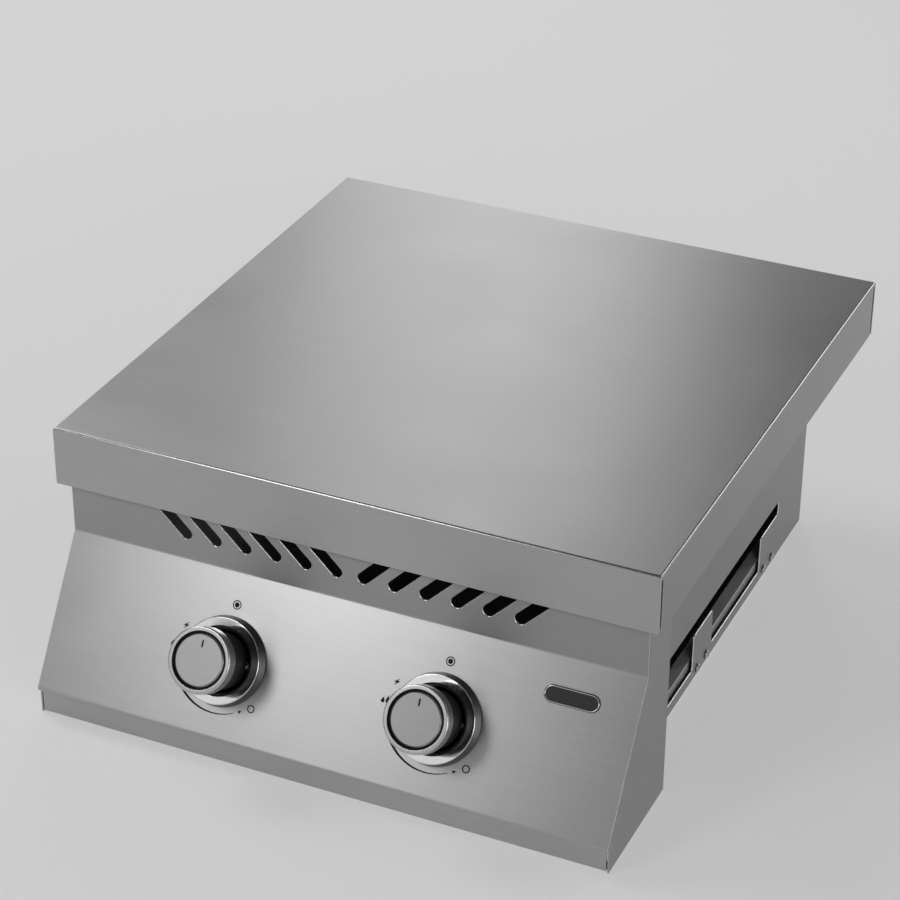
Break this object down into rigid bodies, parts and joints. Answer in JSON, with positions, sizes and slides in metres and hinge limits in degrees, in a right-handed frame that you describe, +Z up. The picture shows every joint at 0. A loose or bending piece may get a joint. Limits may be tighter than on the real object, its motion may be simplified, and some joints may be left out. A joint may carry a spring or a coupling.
{
  "type": "built-in gas power burner",
  "caption": "Drop-in outdoor gas power burner: steel box with a leaning control panel, ring burner under a cast grate, drip tray and lift-off cover.",
  "frame": {"origin": "centre of the footprint at the base", "axes": "+X right seen from the front, +Y to the back, +Z up; the control panel faces -Y"},
  "size_m": [0.474, 0.5606, 0.214],
  "materials": {
    "panel_steel": "brushed stainless steel, grain across",
    "cover_steel": "brushed stainless steel, grain across",
    "box_steel": "mill-finish stainless steel",
    "bright_chrome": "polished chrome",
    "disc_steel": "brushed steel",
    "knob_black": "gloss black",
    "badge_black": "satin black plate",
    "grate_iron": "matt enamelled cast iron",
    "burner_iron": "cast iron",
    "tube_steel": "plain steel tube",
    "brass": "machined brass",
    "valve_metal": "die-cast aluminium",
    "screw_steel": "plain steel",
    "rubber": "black rubber",
    "piezo_plastic": "black moulded plastic",
    "ceramic": "white glazed ceramic"
  },
  "bodies": {
    "root": {"badge_plate": "badge_black", "bezel_screws": "screw_steel", "bracket_screws": "screw_steel", "burner_bracket": "box_steel", "electrode_pins": "screw_steel", "electrode_plates": "box_steel", "floor_pan": "box_steel", "front_bulkhead": "box_steel", "front_panel": "panel_steel", "gas_inlet_fitting": "brass", "gas_manifold": "tube_steel", "gas_supply_pipe": "tube_steel", "grate": "grate_iron", "inner_burner_cap": "burner_iron", "inner_burner_ring": "burner_iron", "inner_electrode": "ceramic", "inner_mixing_tube": "tube_steel", "left_bezel": "bright_chrome", "left_end_cap": "panel_steel", "left_orifice": "brass", "left_piezo": "piezo_plastic", "left_side_wall": "box_steel", "left_tray_runner": "box_steel", "left_valve_body": "valve_metal", "manifold_clamps": "box_steel", "manifold_elbow": "brass", "outer_burner_cap": "burner_iron", "outer_burner_ring": "burner_iron", "outer_electrode": "ceramic", "outer_mixing_tube": "tube_steel", "rear_wall": "box_steel", "right_bezel": "bright_chrome", "right_end_cap": "panel_steel", "right_orifice": "brass", "right_piezo": "piezo_plastic", "right_side_wall": "box_steel", "right_tray_runner": "box_steel", "right_valve_body": "valve_metal", "runner_screws": "screw_steel", "top_deck": "panel_steel"},
    "cover_lid": {"cover": "cover_steel", "cover_bumpers": "rubber"},
    "tray": {"drip_tray": "panel_steel"},
    "left_shutter": {"left_air_shutter": "tube_steel"},
    "right_shutter": {"right_air_shutter": "tube_steel"},
    "left_plug": {"left_valve_plug": "brass", "left_return_spring": "screw_steel"},
    "left_knob": {"left_valve_stem": "screw_steel", "left_knob_body": "knob_black", "left_knob_ring": "bright_chrome", "left_knob_disc": "disc_steel"},
    "right_plug": {"right_valve_plug": "brass", "right_return_spring": "screw_steel"},
    "right_knob": {"right_valve_stem": "screw_steel", "right_knob_body": "knob_black", "right_knob_ring": "bright_chrome", "right_knob_disc": "disc_steel"}
  },
  "joints": [
    {"name": "cover_lift", "type": "slide", "parent": "root", "child": "cover_lid", "axis": [0, 0, 1], "range_m": [0, 0.25]},
    {"name": "tray_slide", "type": "slide", "parent": "root", "child": "tray", "axis": [0, -1, 0], "range_m": [0, 0.3]},
    {"name": "left_knob_turn", "type": "hinge", "parent": "root", "child": "left_plug", "pos_m": [-0.0853, -0.23131, 0.07029], "axis": [0, -0.8415, 0.5402], "range_deg": [0, 225]},
    {"name": "left_knob_push", "type": "slide", "parent": "left_plug", "child": "left_knob", "axis": [0, 0.8415, -0.5402], "range_m": [0, 0.003], "stiffness_N_per_m": 600, "springref_m": -0.005, "deforming": ["left_return_spring"]},
    {"name": "left_shutter_turn", "type": "hinge", "parent": "root", "child": "left_shutter", "pos_m": [-0.0853, -0.16483, 0.04976], "axis": [0, 1, 0], "range_deg": [0, 45]},
    {"name": "right_knob_turn", "type": "hinge", "parent": "root", "child": "right_plug", "pos_m": [0.0853, -0.23131, 0.07029], "axis": [0, -0.8415, 0.5402], "range_deg": [0, 225]},
    {"name": "right_knob_push", "type": "slide", "parent": "right_plug", "child": "right_knob", "axis": [0, 0.8415, -0.5402], "range_m": [0, 0.003], "stiffness_N_per_m": 600, "springref_m": -0.005, "deforming": ["right_return_spring"]},
    {"name": "right_shutter_turn", "type": "hinge", "parent": "root", "child": "right_shutter", "pos_m": [0.0853, -0.16483, 0.04976], "axis": [0, 1, 0], "range_deg": [0, 45]}
  ]
}
